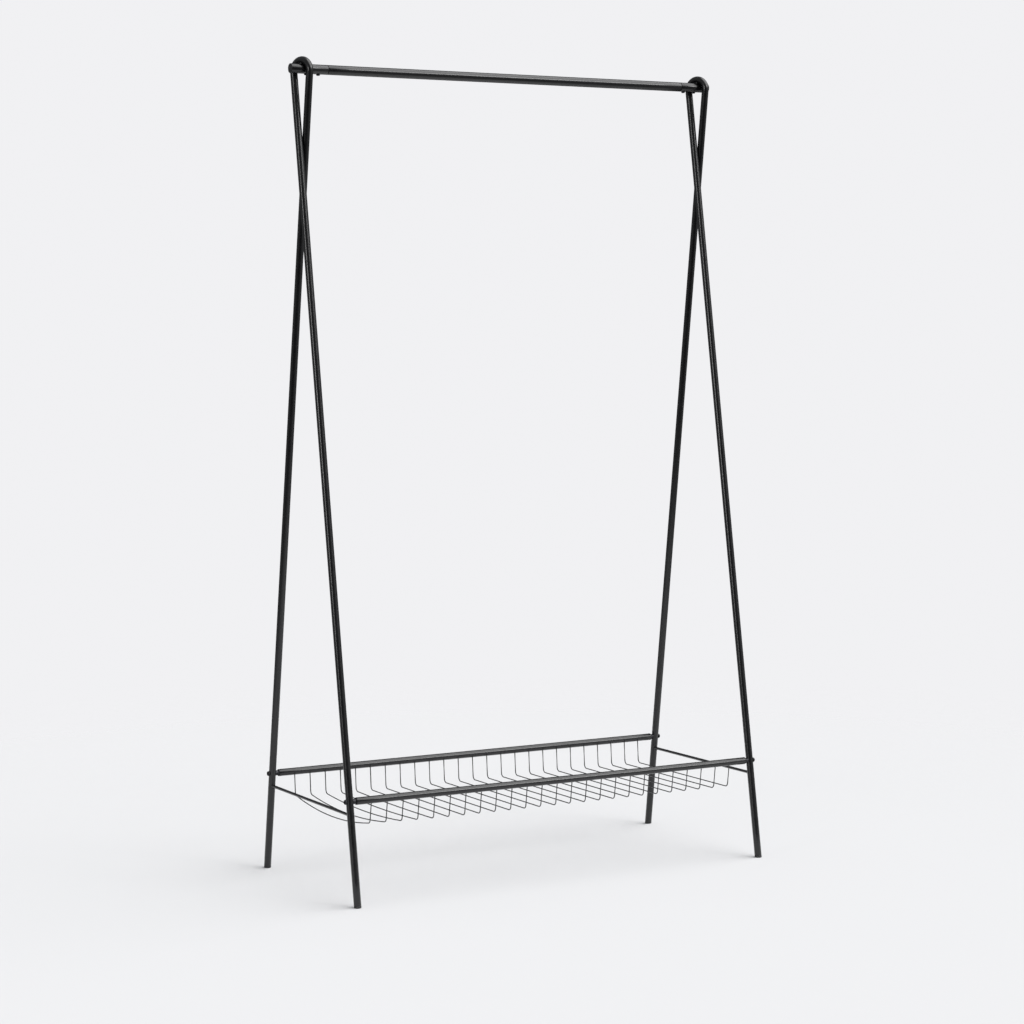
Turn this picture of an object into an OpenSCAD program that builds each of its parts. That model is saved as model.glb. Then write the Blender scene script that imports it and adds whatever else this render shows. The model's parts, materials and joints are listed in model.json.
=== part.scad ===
/* [Overall] */
// Height to the top of the loops
height = 1700; // [1200:10:2000]
// Spacing of the two end frames, between the middles of their loops
frame_spacing = 955; // [500:5:1400]
// Front to back spacing of the feet, between the leg axes on the floor
foot_spread = 450; // [340:5:620]

/* [End frames] */
// Outer diameter of the bent leg tube
leg_d = 15; // [12:0.5:18]
// Wall of the leg tube
leg_wall = 1.2; // [0.8:0.1:2]
// Inner radius of the loop the rail hangs in
loop_inner_r = 14.5; // [13.5:0.5:32.5]
// Gap between the two strands where they pass each other
cross_gap = 0.6; // [0.4:0.1:4]
// Length of the foot plug that shows below the tube, on the leg's axis
foot_show = 4; // [3:0.5:12]
// Length of the foot plug inside the tube
foot_plug_len = 18; // [10:1:40]

/* [Cross rods] */
// Diameter of the rod that ties the two legs of an end frame
cross_rod_d = 6; // [4:0.5:9]
// Height of the cross rods
cross_rod_z = 179.5; // [100:0.5:185]
// Radius of the weld around each end of a cross rod
rod_weld_r = 4.6; // [4.6:0.1:6]

/* [Hanging rail] */
// Outer diameter of the hanging rail
rail_d = 20; // [16:0.5:24]
// Wall of the hanging rail
rail_wall = 1.2; // [0.8:0.1:2]
// Gap between the rail and the loop over it, filled by the weld
arch_gap = 0.3; // [0.2:0.05:1]
// Radius of the weld between the rail and the loop
arch_weld_r = 6.2; // [4:0.1:7]
// Reach of the rail ends beyond the end frames
rail_overhang = 25; // [18:1:60]
// Reach of the left stub inward from its end frame
stub_in_left = 56; // [44:1:90]
// Reach of the right stub inward from its end frame
stub_in_right = 45; // [44:1:90]
// Gap that shows where the middle tube meets a stub
seam_gap = 1; // [0.4:0.1:3]
// Wall of the joiner tube inside the rail
joiner_wall = 2; // [1.5:0.5:4]
// Length of the joiner inside the middle tube
joiner_in = 45; // [30:1:90]
// Length of the joiner beyond the first screw, towards the end of the rail
joiner_past = 8; // [6:1:9]
// Height of the domed rail cap
cap_h = 2; // [1:0.5:5]
// Length of the rail cap inside the tube
cap_plug_len = 12; // [6:1:14]

/* [Rail screws] */
// Distance from the end frame to the first screw under the rail
screw_1 = 9.5; // [9:0.5:14]
// Distance from the end frame to the second screw under the rail
screw_2 = 36.5; // [24:0.5:38]
// Shank diameter of the rail screws
screw_d = 5; // [4:0.5:6]
// Head diameter of the rail screws
screw_head_d = 8; // [7:0.5:11]
// Head height of the rail screws
screw_head_h = 3; // [2.5:0.5:5]
// Length of the rail screws under the head
screw_len = 8; // [6:0.5:9]

/* [Shoe shelf] */
// Height of the shelf rails, at their axis
shelf_z = 206.5; // [204:0.5:400]
// Outer diameter of the shelf rails
shelf_rail_d = 15; // [14:0.5:20]
// Wall of the shelf rails
shelf_rail_wall = 1; // [0.8:0.1:2]
// Distance from a leg's axis to the end of a shelf rail
shelf_rail_end = 14; // [12:0.5:30]
// Number of shelf wires
wire_count = 25; // [7:1:31]
// Diameter of the shelf wires
wire_d = 2.2; // [1.8:0.1:3]
// Depth of the shelf floor below the rail axis, at the wires' axis
wire_depth = 55; // [40:1:90]
// Corner radius of the wires, at their axis
wire_bend_r = 9; // [5:0.5:16]
// Distance inward from a shelf rail's axis to where a wire meets it
wire_inset = 6; // [2:0.5:6]
// How much further inward the front of a wire is at its corner
front_lean = 8; // [1:0.5:12]
// How much further inward the back of a wire is at its corner
back_lean = 3; // [1:0.5:12]
// Depth of the crease that the first wire's floor sags to, at the left end of the shelf
wire_sag = 19; // [2:0.5:24]
// Radius of the bend that rounds the crease in a sagging floor
crease_r = 500; // [100:10:500]
// Number of wires over which the sag fades out
sag_count = 5; // [1:1:5]
// Radius of the weld at the top of a wire, where it meets the rail
wire_weld_r = 1.9; // [1.9:0.1:3]
// Length of the weld along the wire
wire_weld_len = 1.2; // [1:0.1:3]

/* [Shelf bolts] */
// Shank diameter of the shelf bolts
bolt_d = 6; // [5:0.5:7]
// Head diameter of the shelf bolts
bolt_head_d = 10; // [9:0.5:13]
// Head height of the shelf bolts
bolt_head_h = 4.2; // [3:0.1:6]
// Length of the bolt's thread inside the shelf rail
bolt_grip = 12; // [8:1:16]
// Neck diameter of the rail plug, where it seats on the leg
plug_neck_d = 10.5; // [9.5:0.5:11.5]
// Length of the rail plug inside the shelf rail
plug_len = 20; // [17:1:40]

/* [Fits] */
// Radial clearance of a bolt or screw in a threaded hole
thread_clearance = 0.02; // [0.01:0.01:0.1]
// Radial clearance of a bolt or screw in a drilled hole
drill_clearance = 0.25; // [0.1:0.05:0.5]

/* [Hidden] */
$fn = 96;
coat = [0.09, 0.09, 0.10];
plastic = [0.05, 0.05, 0.055];
steel = [0.14, 0.14, 0.15];
clear = 1;        // how far a cutting solid runs past what it cuts
swell = 0.005;    // a ball that closes a joint in a tube is this much bigger than the tube
bend_step = 0.04; // a bend in a wire is this much thicker, in radius, than its straight stretches
bend_bite = 0.1;  // how far a straight stretch reaches into a bend
weld_edge = 0.3;  // how much thicker than the wire the thin end of its weld is, in radius
fade_power = 1.5; // how the sag fades from wire to wire: 1 fades evenly, more drops off sooner
corner_pull = 0.3;    // how far a sagging wire pulls its corners up, as a share of its sag
head_edge = 1 / 3;    // straight part of a domed head, as a share of its height
screw_socket = 0.4;   // width over corners of a rail screw's socket, as a share of its head
bolt_socket = 0.46;   // width over corners of a shelf bolt's socket, as a share of its head
leg_r = leg_d / 2;
loop_r = loop_inner_r + leg_r;  // to the centre line of the tube
rail_r = rail_d / 2;
shelf_r = shelf_rail_d / 2;
wire_run_on = shelf_r / 3;  // how far a wire's ends run on before they are cut to the rail
half_spread = foot_spread / 2;
sides = [-1, 1];
LEFT = -1;
RIGHT = 1;

// The loop is part of a ring that stands upright, turned about Z so that the two strands
// leave it side by side. Everything in an end frame is symmetric under half a turn about Z.
loop_z = height - leg_r - loop_r;
lean = atan2(half_spread, loop_z) + asin(loop_r / norm([half_spread, loop_z]));
strand_reach = loop_r * cos(lean);
pass = leg_r + cross_gap / 2;   // how far each strand is off the middle where they pass
k = pow(pass / half_spread, 2);
strand_y = (sqrt(k * pass * pass + (1 + k) * (strand_reach * strand_reach - pass * pass))
    - k * half_spread) / (1 + k);
strand_x = pass * (1 + strand_y / half_spread);
turn = atan2(strand_x, strand_y);
strand_top = [-strand_x, strand_y, loop_z - loop_r * sin(lean)];
foot = [0, -half_spread, 0];

// The front leg's axis at a height; the back leg is the same point turned by half a turn
function leg_axis(z) = foot + (strand_top - foot) * (z / strand_top[2]);
function unit(v) = v / norm(v);
leg_dir = unit(strand_top - foot);
tube_end = foot + leg_dir * foot_show;

rail_z = height - leg_d - arch_gap - rail_r;
shelf_leg = leg_axis(shelf_z);
shelf_y = -shelf_leg[1];
shelf_rail_len = frame_spacing - 2 * shelf_rail_end;
wire_pitch = shelf_rail_len / (wire_count + 1);

function wire_name(i) = str("shelf_wire_", i < 10 ? "0" : "", i);

// A round bar between two points, with its own seam turned to its side, clear of level cuts
module bar(p, q, r) {
    d = q - p;
    translate(p)
        rotate([0, acos(d[2] / norm(d)), atan2(d[1], d[0])])
            rotate([0, 0, 90]) cylinder(h = norm(d), r = r);
}

// A bar along X from x1 to x2
module x_bar(x1, x2, r) {
    translate([x1, 0, 0]) rotate([0, 90, 0]) cylinder(h = x2 - x1, r = r);
}

// Places a piece at the left or right end frame
module at_frame(side) {
    translate([side * frame_spacing / 2, 0, 0]) children();
}

// Places a piece made for the front leg at the front or the back one
module at_leg(front) {
    rotate([0, 0, front ? 0 : 180]) children();
}

// ---- End frames ----

// The round path of an end frame's tube, at radius r, running on by extra past the feet
module frame_path(r, extra) {
    top = strand_top - [0, 0, loop_z];
    low = tube_end - leg_dir * extra - [0, 0, loop_z];
    translate([0, 0, loop_z]) {
        rotate([90, 0, 90 + turn])
            rotate([0, 0, -lean])
                rotate_extrude(angle = 180 + 2 * lean) translate([loop_r, 0]) circle(r = r);
        for (front = [true, false]) at_leg(front) {
            bar(top, low, r);
            translate(top) sphere(r = r + swell);
        }
    }
}

module end_frame(side) {
    color(coat) at_frame(side) difference() {
        frame_path(leg_r, 0);
        frame_path(leg_r - leg_wall, clear);
        for (front = [true, false]) at_leg(front)
            translate([-leg_d, 0, 0] + shelf_leg)
                x_bar(0, 2 * leg_d, bolt_d / 2 + drill_clearance);
    }
}

// The outside of one straight leg, used to cut what seats on it
module leg_outside() {
    bar(leg_axis(0), leg_axis(2 * shelf_z), leg_r);
}

module cross_rod(side) {
    end = leg_axis(cross_rod_z);
    other = [-end[0], -end[1], end[2]];
    along = unit(other - end);
    color(coat) at_frame(side) difference() {
        union() {
            bar(end, other, cross_rod_d / 2);
            translate(end + along * leg_r) sphere(r = rod_weld_r);
            translate(other - along * leg_r) sphere(r = rod_weld_r);
        }
        for (front = [true, false]) at_leg(front) leg_outside();
    }
}

module foot_plug(side, front) {
    inside = tube_end + leg_dir * foot_plug_len;
    below = foot - leg_dir * leg_d;
    color(plastic) at_frame(side) at_leg(front) difference() {
        union() {
            bar(foot, inside, leg_r - leg_wall);
            bar(below, tube_end, leg_r);
        }
        translate([-leg_d, -half_spread - leg_d, -2 * leg_d]) cube(2 * leg_d);
    }
}

// ---- Hanging rail ----

module at_rail(side) {
    translate([side * frame_spacing / 2, 0, rail_z]) mirror([side == LEFT ? 0 : 1, 0, 0]) children();
}

function stub_in(side) = side == LEFT ? stub_in_left : stub_in_right;

module rail_stub(side) {
    color(coat) at_rail(side) difference() {
        x_bar(-rail_overhang, stub_in(side), rail_r);
        x_bar(-rail_overhang - clear, stub_in(side) + clear, rail_r - rail_wall);
        for (x = [screw_1, screw_2]) translate([x, 0, -rail_d])
            cylinder(h = rail_d, r = screw_d / 2 + drill_clearance);
    }
}

module rail_joiner(side) {
    bore = rail_r - rail_wall - joiner_wall;
    first = screw_1 - joiner_past;
    last = stub_in(side) + seam_gap + joiner_in;
    color(steel) at_rail(side) difference() {
        x_bar(first, last, rail_r - rail_wall);
        x_bar(first - clear, last + clear, bore);
        for (x = [screw_1, screw_2]) translate([x, 0, -rail_d])
            cylinder(h = rail_d, r = screw_d / 2 + thread_clearance);
    }
}

module hanging_rail() {
    x1 = -frame_spacing / 2 + stub_in_left + seam_gap;
    x2 = frame_spacing / 2 - stub_in_right - seam_gap;
    color(coat) translate([0, 0, rail_z]) difference() {
        x_bar(x1, x2, rail_r);
        x_bar(x1 - clear, x2 + clear, rail_r - rail_wall);
    }
}

module rail_cap(side) {
    dome_r = (rail_r * rail_r + cap_h * cap_h) / (2 * cap_h);
    color(plastic) at_rail(side) translate([-rail_overhang, 0, 0]) union() {
        x_bar(0, cap_plug_len, rail_r - rail_wall);
        intersection() {
            x_bar(-cap_h, 0, rail_r);
            translate([dome_r - cap_h, 0, 0]) sphere(r = dome_r);
        }
    }
}

module arch_weld(side) {
    color(coat) difference() {
        translate([side * frame_spacing / 2, 0, rail_z + rail_r]) sphere(r = arch_weld_r);
        at_rail(side) x_bar(-rail_d, rail_d, rail_r);
        at_frame(side) frame_path(leg_r, 0);
    }
}

// A domed head with a hex socket, on a shank; the head is above z = 0 and the shank below
module domed_screw(head_d, head_h, shank_d, shank_len, socket) {
    edge = head_h * head_edge;
    rise = head_h - edge;
    dome_r = (head_d * head_d / 4 + rise * rise) / (2 * rise);
    difference() {
        union() {
            cylinder(h = edge, d = head_d);
            intersection() {
                translate([0, 0, edge]) cylinder(h = rise, d = head_d);
                translate([0, 0, head_h - dome_r]) sphere(r = dome_r);
            }
            translate([0, 0, -shank_len]) cylinder(h = shank_len, d = shank_d);
        }
        translate([0, 0, head_h / 2]) cylinder(h = head_h, d = socket, $fn = 6);
    }
}

module rail_screws() {
    color(steel) for (side = sides, x = [screw_1, screw_2])
        at_rail(side) translate([x, 0, -rail_r]) rotate([180, 0, 0])
            domed_screw(screw_head_d, screw_head_h, screw_d, screw_len, screw_head_d * screw_socket);
}

// ---- Shoe shelf ----

// Places a piece made for the left end of the front shelf rail at one of the four rail ends:
// its origin is on the leg's axis, with +X along the rail
module at_rail_end(side, front) {
    translate([side * frame_spacing / 2 + (front ? 1 : -1) * shelf_leg[0],
               (front ? -1 : 1) * shelf_y, shelf_z])
        mirror([side == LEFT ? 0 : 1, 0, 0]) children();
}

module shelf_rail(front) {
    color(coat) at_rail_end(LEFT, front) difference() {
        x_bar(shelf_rail_end, shelf_rail_end + shelf_rail_len, shelf_r);
        x_bar(shelf_rail_end - clear, shelf_rail_end + shelf_rail_len + clear,
              shelf_r - shelf_rail_wall);
    }
}

module rail_plug(side, front) {
    color(steel) difference() {
        at_rail_end(side, front) difference() {
            union() {
                x_bar(0, shelf_rail_end, plug_neck_d / 2);
                x_bar(shelf_rail_end, shelf_rail_end + plug_len, shelf_r - shelf_rail_wall);
            }
            x_bar(-clear, shelf_rail_end + plug_len + clear, bolt_d / 2 + thread_clearance);
        }
        at_frame(side) at_leg(front) leg_outside();
    }
}

module shelf_bolts() {
    shank = leg_d + shelf_rail_end - leg_r + bolt_grip;
    color(steel) for (side = sides, front = [true, false])
        at_rail_end(side, front) translate([-leg_r, 0, 0]) rotate([0, -90, 0])
            domed_screw(bolt_head_d, bolt_head_h, bolt_d, shank, bolt_head_d * bolt_socket);
}

// The wires are drawn in a plane with X to the back and Y up, measured from the rails' height
function wire_x(i) = (i - (wire_count + 1) / 2) * wire_pitch;
function fade(i) = i <= sag_count ? pow((sag_count + 1 - i) / sag_count, fade_power) : 0;
function heading(a) = [cos(a), sin(a)];

// A bend that starts at p in direction a and turns left by sweep
module wire_bend(p, a, sweep, radius) {
    translate(p) rotate([0, 0, a]) translate([0, radius, 0]) rotate([0, 0, -90])
        rotate_extrude(angle = sweep) translate([radius, 0]) circle(r = wire_d / 2 + bend_step);
}

// A straight stretch, which reaches a little way into the bends at its two ends
module wire_bar(p, q) {
    bite = unit(q - p) * bend_bite;
    d = q - p + 2 * bite;
    translate(p - bite) rotate([0, 90, atan2(d[1], d[0])]) cylinder(h = norm(d), d = wire_d);
}

// The weld around a wire that leaves its rail at p in direction a: a cone that narrows down it
module wire_weld(p, a) {
    edge = wire_d / 2 + weld_edge;
    translate(p - wire_weld_len * heading(a)) rotate([0, 90, a])
        cylinder(h = 2 * wire_weld_len, r1 = 2 * wire_weld_r - edge, r2 = edge);
}

module shelf_wire(i) {
    sag = wire_sag * fade(i);
    floor_y = -wire_depth + corner_pull * sag;
    meet_y = -sqrt(shelf_r * shelf_r - wire_inset * wire_inset);
    front_top = [-shelf_y + wire_inset, meet_y];
    back_top = [shelf_y - wire_inset, meet_y];
    front_corner = [front_top[0] + front_lean, floor_y];
    back_corner = [back_top[0] - back_lean, floor_y];
    crease = (front_corner + back_corner) / 2 - [0, sag];
    dip = atan2(front_corner[1] - crease[1], crease[0] - front_corner[0]);
    down = atan2(floor_y - meet_y, front_lean);   // heading down the front
    up = atan2(meet_y - floor_y, back_lean);      // heading up the back
    front_turn = -dip - down;
    back_turn = up - dip;
    front_cut = wire_bend_r * tan(front_turn / 2);
    back_cut = wire_bend_r * tan(back_turn / 2);
    crease_cut = crease_r * tan(dip);
    p1 = front_corner - heading(down) * front_cut;
    p2 = front_corner + heading(-dip) * front_cut;
    p3 = crease - heading(-dip) * crease_cut;
    p4 = crease + heading(dip) * crease_cut;
    p5 = back_corner - heading(dip) * back_cut;
    p6 = back_corner + heading(up) * back_cut;
    color(coat) difference() {
        translate([wire_x(i), 0, shelf_z]) rotate([90, 0, 90]) {
            wire_bar(front_top - heading(down) * wire_run_on, p1);
            wire_bend(p1, down, front_turn, wire_bend_r);
            if (sag > 0) {
                wire_bar(p2, p3);
                wire_bend(p3, -dip, 2 * dip, crease_r);
                wire_bar(p4, p5);
            } else
                wire_bar(p2, p5);
            wire_bend(p5, dip, back_turn, wire_bend_r);
            wire_bar(p6, back_top + heading(up) * wire_run_on);
            wire_weld(front_top, down);
            wire_weld(back_top, up + 180);
        }
        for (s = sides) translate([wire_x(i), s * shelf_y, shelf_z])
            x_bar(-wire_pitch / 2, wire_pitch / 2, shelf_r);
    }
}

end_frame(LEFT);  // left_end_frame
end_frame(RIGHT);  // right_end_frame
cross_rod(LEFT);  // left_cross_rod
cross_rod(RIGHT);  // right_cross_rod
hanging_rail();
rail_stub(LEFT);  // left_rail_stub
rail_stub(RIGHT);  // right_rail_stub
rail_joiner(LEFT);  // left_rail_joiner
rail_joiner(RIGHT);  // right_rail_joiner
rail_cap(LEFT);  // left_rail_cap
rail_cap(RIGHT);  // right_rail_cap
arch_weld(LEFT);  // left_arch_weld
arch_weld(RIGHT);  // right_arch_weld
rail_screws();
shelf_rail(true);  // front_shelf_rail
shelf_rail(false);  // back_shelf_rail
rail_plug(LEFT, true);  // front_left_rail_plug
rail_plug(LEFT, false);  // back_left_rail_plug
rail_plug(RIGHT, true);  // front_right_rail_plug
rail_plug(RIGHT, false);  // back_right_rail_plug
shelf_bolts();
foot_plug(LEFT, true);  // front_left_foot_plug
foot_plug(LEFT, false);  // back_left_foot_plug
foot_plug(RIGHT, true);  // front_right_foot_plug
foot_plug(RIGHT, false);  // back_right_foot_plug
for (i = [1 : wire_count]) shelf_wire(i);
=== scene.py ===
import json
import math

import bmesh
import bpy
from mathutils import Matrix, Vector, noise


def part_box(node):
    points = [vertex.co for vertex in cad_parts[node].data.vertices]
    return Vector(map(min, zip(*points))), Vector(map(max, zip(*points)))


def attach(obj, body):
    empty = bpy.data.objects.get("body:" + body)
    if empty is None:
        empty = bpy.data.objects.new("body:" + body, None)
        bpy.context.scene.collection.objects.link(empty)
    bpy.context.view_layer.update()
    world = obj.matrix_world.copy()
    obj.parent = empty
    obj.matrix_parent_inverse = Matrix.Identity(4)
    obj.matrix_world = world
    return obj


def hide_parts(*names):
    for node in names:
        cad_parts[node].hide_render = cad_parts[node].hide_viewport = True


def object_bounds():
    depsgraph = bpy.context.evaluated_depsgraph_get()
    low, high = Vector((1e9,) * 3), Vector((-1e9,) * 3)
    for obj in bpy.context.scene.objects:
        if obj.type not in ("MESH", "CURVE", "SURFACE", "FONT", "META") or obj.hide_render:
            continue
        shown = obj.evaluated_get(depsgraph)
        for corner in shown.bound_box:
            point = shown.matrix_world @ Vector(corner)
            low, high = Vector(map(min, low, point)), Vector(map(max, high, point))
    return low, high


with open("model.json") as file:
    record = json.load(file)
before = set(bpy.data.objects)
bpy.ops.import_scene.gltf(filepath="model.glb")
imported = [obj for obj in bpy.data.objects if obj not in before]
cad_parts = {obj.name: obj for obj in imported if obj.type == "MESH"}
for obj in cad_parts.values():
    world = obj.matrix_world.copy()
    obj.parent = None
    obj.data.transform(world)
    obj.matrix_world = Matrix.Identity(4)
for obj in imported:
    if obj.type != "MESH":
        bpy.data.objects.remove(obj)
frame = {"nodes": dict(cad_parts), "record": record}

bl_info = {
    "name": "Clothes Rack",
    "version": (1, 0, 0),
    "blender": (4, 5, 0),
    "location": "View3D > Sidebar > Rack",
    "description": "Builds a tube clothes rack with a hanging rail and a wire shoe shelf around its frame",
    "category": "Object",
}

# ---- What the frame says ----

CAD_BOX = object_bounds()
NODES = frame["nodes"]
FEET = {m["name"]: Vector(m["pos_m"]) for m in frame["record"]["mounts"]}
UP = Vector((0, 0, 1))
ALONG = Vector((1, 0, 0))
LEFT, RIGHT = -1, 1
SIDE_NAMES = {LEFT: "left", RIGHT: "right"}
FACE_NAMES = {True: "front", False: "back"}
ENDS = [(side, front) for side in (LEFT, RIGHT) for front in (True, False)]


def corner_name(side, front):
    return f"{FACE_NAMES[front]}_{SIDE_NAMES[side]}"


def extent(node):
    low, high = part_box(node)
    return high - low


def middle(node):
    low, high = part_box(node)
    return (low + high) / 2


HEIGHT = CAD_BOX[1].z
FRAME_X = FEET["front_right_foot"].x
HALF_SPREAD = -FEET["front_right_foot"].y
LEG_R = extent("front_left_foot_plug").x / 2
RAIL_R = extent("hanging_rail").z / 2
RAIL_Z = middle("hanging_rail").z
SHELF_R = extent("front_shelf_rail").z / 2
SHELF_Z = middle("front_shelf_rail").z
ROD_Z = middle("left_cross_rod").z
WIRES = sorted(name for name in NODES if name.startswith("shelf_wire_"))

# ---- Fixed sizes, with lengths in metres ----

FIT_ROOM = 0.0016         # how far a piece may miss the place of its nodes
RING_GAP = 0.05           # between the rings of a straight tube
ARC_STEPS = 48            # rings round a loop
BEND_STEPS = 7            # rings round a wire's bend
SAG_STEPS = 12            # stretches along the sagging middle of a wire
LEAST_SAG = 0.0003        # a wire that sags less than this is straight between its bends
FOOT_PLUG_DEPTH = 0.018   # how far a foot plug goes up into its tube
FOOT_PLUG_LEAD = 0.002    # length of the taper at its upper end
CAP_LEAD = 0.0015         # length of the taper at the inner end of a rail cap
BOLT_SHANK = 0.0335       # from a shelf bolt's head to its end in the shelf rail
ROD_SIDES = 36            # faces around a cross rod
WIRE_SIDES = 18           # faces around a shelf wire
ROD_RIPPLE = 0.045        # height of the ripples round a rod's weld, as a share of its radius
WIRE_RIPPLE = 0.05        # the same for a wire's weld
RIPPLE_TWIST = 900        # turn of the ripples along a weld, in radians per metre
ROD_WELD_REACH = 0.0046   # how far from a leg the thick coat of a rod's weld reaches
WIRE_WELD_REACH = 0.0028  # how far from its end the thick coat of a wire's weld reaches
MOST_SADDLE = 0.0018      # beyond this a seated ring no longer follows the tube round its side
SHARP_ANGLE = math.radians(32)    # edges that turn more than this stay sharp

LOOP_BEAD_R = 0.0014      # radius of the bead where a loop sits on the rail
LOOP_BEAD_LIFT = 0.0007   # height of that bead's middle above the two surfaces
LOOP_BEAD_STEPS = 8       # rings from the middle of that bead to each end
LOOP_BEAD_TURN = math.radians(2.4)    # turn round the rail from each of those rings to the next
HALVINGS = 24             # steps of the search for that bead's place, each twice as fine

HEAD_EDGE = 0.30          # height of a button head's rim, as a share of the head's height
HEAD_FLAT = 0.62          # radius of its nearly flat middle, as a share of the head's radius
HEAD_SHANK = 0.55         # radius of its shank, as a share of the head's radius
HEAD_SOCKET = 0.46        # from the middle of its hex socket to a flat, as a share of the head's radius

FLOOR_REACH = 3.2         # radius of the floor
FLOOR_FADE = (0.9, 3.0)   # where the floor starts and ends to fade into the backdrop


# ---- Sizes and colours a user may change ----

class RackTubes(bpy.types.PropertyGroup):
    loop_radius: bpy.props.FloatProperty(
        name="Loop radius", description="Bend radius of the loops, to the tube's centre line",
        default=0.022, unit="LENGTH")
    strand_gap: bpy.props.FloatProperty(
        name="Strand gap", description="Gap between the two strands where they pass each other",
        default=0.0006, unit="LENGTH")
    foot_show: bpy.props.FloatProperty(
        name="Foot height", description="Length of a foot plug that shows below its tube",
        default=0.004, unit="LENGTH")
    wall: bpy.props.FloatProperty(
        name="Wall", description="Wall of the leg and rail tubes", default=0.0012, unit="LENGTH")
    edge: bpy.props.FloatProperty(
        name="Edge rounding", description="Rounding of a cut and coated tube end",
        default=0.0004, unit="LENGTH")
    rod_radius: bpy.props.FloatProperty(
        name="Cross rod radius", description="Radius of the cross rods", default=0.003, unit="LENGTH")
    sides: bpy.props.IntProperty(
        name="Tube sides", description="Number of faces around a tube", default=40)


class RackShelf(bpy.types.PropertyGroup):
    wire_radius: bpy.props.FloatProperty(
        name="Wire radius", description="Radius of the shelf wires", default=0.0011, unit="LENGTH")
    bend_radius: bpy.props.FloatProperty(
        name="Bend radius", description="Corner radius of the wires", default=0.009, unit="LENGTH")
    inset: bpy.props.FloatProperty(
        name="Inset", description="Distance inward from a rail's axis to where a wire meets it",
        default=0.006, unit="LENGTH")
    front_lean: bpy.props.FloatProperty(
        name="Front lean", description="How much further inward the front of a wire is at its corner",
        default=0.008, unit="LENGTH")
    back_lean: bpy.props.FloatProperty(
        name="Back lean", description="How much further inward the back of a wire is at its corner",
        default=0.003, unit="LENGTH")
    neck_radius: bpy.props.FloatProperty(
        name="Neck radius", description="Radius of the necks between the legs and the shelf rails",
        default=0.00525, unit="LENGTH")
    bolt_radius: bpy.props.FloatProperty(
        name="Bolt head radius", description="Radius of the shelf bolts' heads",
        default=0.005, unit="LENGTH")
    bolt_height: bpy.props.FloatProperty(
        name="Bolt head height", description="Height of the shelf bolts' heads",
        default=0.0042, unit="LENGTH")


class RackHardware(bpy.types.PropertyGroup):
    screw_spots: bpy.props.FloatVectorProperty(
        name="Screw spots", description="Distances from an end frame to the two screws under the rail",
        size=2, default=(0.0095, 0.0365), unit="LENGTH")
    screw_radius: bpy.props.FloatProperty(
        name="Screw head radius", description="Radius of the rail screws' heads",
        default=0.004, unit="LENGTH")
    screw_height: bpy.props.FloatProperty(
        name="Screw head height", description="Height of the rail screws' heads",
        default=0.003, unit="LENGTH")
    cap_dome: bpy.props.FloatProperty(
        name="Cap dome", description="Height of the domed rail caps", default=0.002, unit="LENGTH")


class RackFinish(bpy.types.PropertyGroup):
    coat: bpy.props.FloatVectorProperty(
        name="Coat", description="Colour of the powder coat", subtype="COLOR", size=3,
        default=(0.0052, 0.0052, 0.0060), min=0.0, max=1.0)
    coat_roughness: bpy.props.FloatProperty(
        name="Coat roughness", description="Roughness of the powder coat", default=0.24)
    plastic: bpy.props.FloatVectorProperty(
        name="Plastic", description="Colour of the caps and feet", subtype="COLOR", size=3,
        default=(0.0200, 0.0200, 0.0212), min=0.0, max=1.0)
    steel: bpy.props.FloatVectorProperty(
        name="Steel", description="Colour of the black-plated fasteners", subtype="COLOR", size=3,
        default=(0.026, 0.026, 0.029), min=0.0, max=1.0)


class RackStage(bpy.types.PropertyGroup):
    backdrop: bpy.props.FloatVectorProperty(
        name="Backdrop", description="Colour of the backdrop", subtype="COLOR", size=3,
        default=(0.878, 0.878, 0.895), min=0.0, max=1.0)
    floor: bpy.props.FloatVectorProperty(
        name="Floor", description="Colour of the floor", subtype="COLOR", size=3,
        default=(0.764, 0.764, 0.774), min=0.0, max=1.0)
    surround: bpy.props.FloatProperty(
        name="Surround", description="Strength of the light from the walls and ceiling", default=0.50)
    key: bpy.props.FloatProperty(
        name="Key", description="Strength of the wide soft light overhead", default=3.15)
    camera_place: bpy.props.FloatVectorProperty(
        name="Camera", description="Place of the camera", size=3, subtype="XYZ",
        default=(-2.5931, -4.7283, 1.1176), unit="LENGTH")
    camera_turn: bpy.props.FloatVectorProperty(
        name="Camera turn", description="Turn to the right of +Y, tilt down and roll of the camera",
        size=3, default=tuple(math.radians(a) for a in (28.77, 2.08, -0.48)), unit="ROTATION")
    lens: bpy.props.FloatProperty(
        name="Lens", description="Focal length on a 36 mm sensor, in millimetres", default=88.92)
    rise: bpy.props.FloatProperty(
        name="Rise", description="Vertical shift of the lens, as a share of the frame", default=-0.077)


GROUPS = {"rack_tubes": RackTubes, "rack_shelf": RackShelf, "rack_hardware": RackHardware,
          "rack_finish": RackFinish, "rack_stage": RackStage}


# ---- Shader maths ----

class Value:
    """A shader socket that Python's own operators work on. Each operator adds one Math node."""

    def __init__(self, shader, socket):
        self.shader = shader
        self.socket = socket

    def math(self, operation, *values):
        return self.shader.node("ShaderNodeMath", {"operation": operation}, dict(enumerate(values)))

    def __add__(self, other):
        return self.math("ADD", self, other)

    def __radd__(self, other):
        return self.math("ADD", other, self)

    def __sub__(self, other):
        return self.math("SUBTRACT", self, other)

    def __rsub__(self, other):
        return self.math("SUBTRACT", other, self)

    def __mul__(self, other):
        return self.math("MULTIPLY", self, other)

    def clamped(self):
        return self.shader.node("ShaderNodeClamp", {}, {"Value": self})

    def ramp(self, low, high):
        """0 below low, 1 above high, and a smooth rise between them."""
        return self.shader.node(
            "ShaderNodeMapRange", {"interpolation_type": "SMOOTHSTEP"},
            {"Value": self, "From Min": low, "From Max": high})


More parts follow.
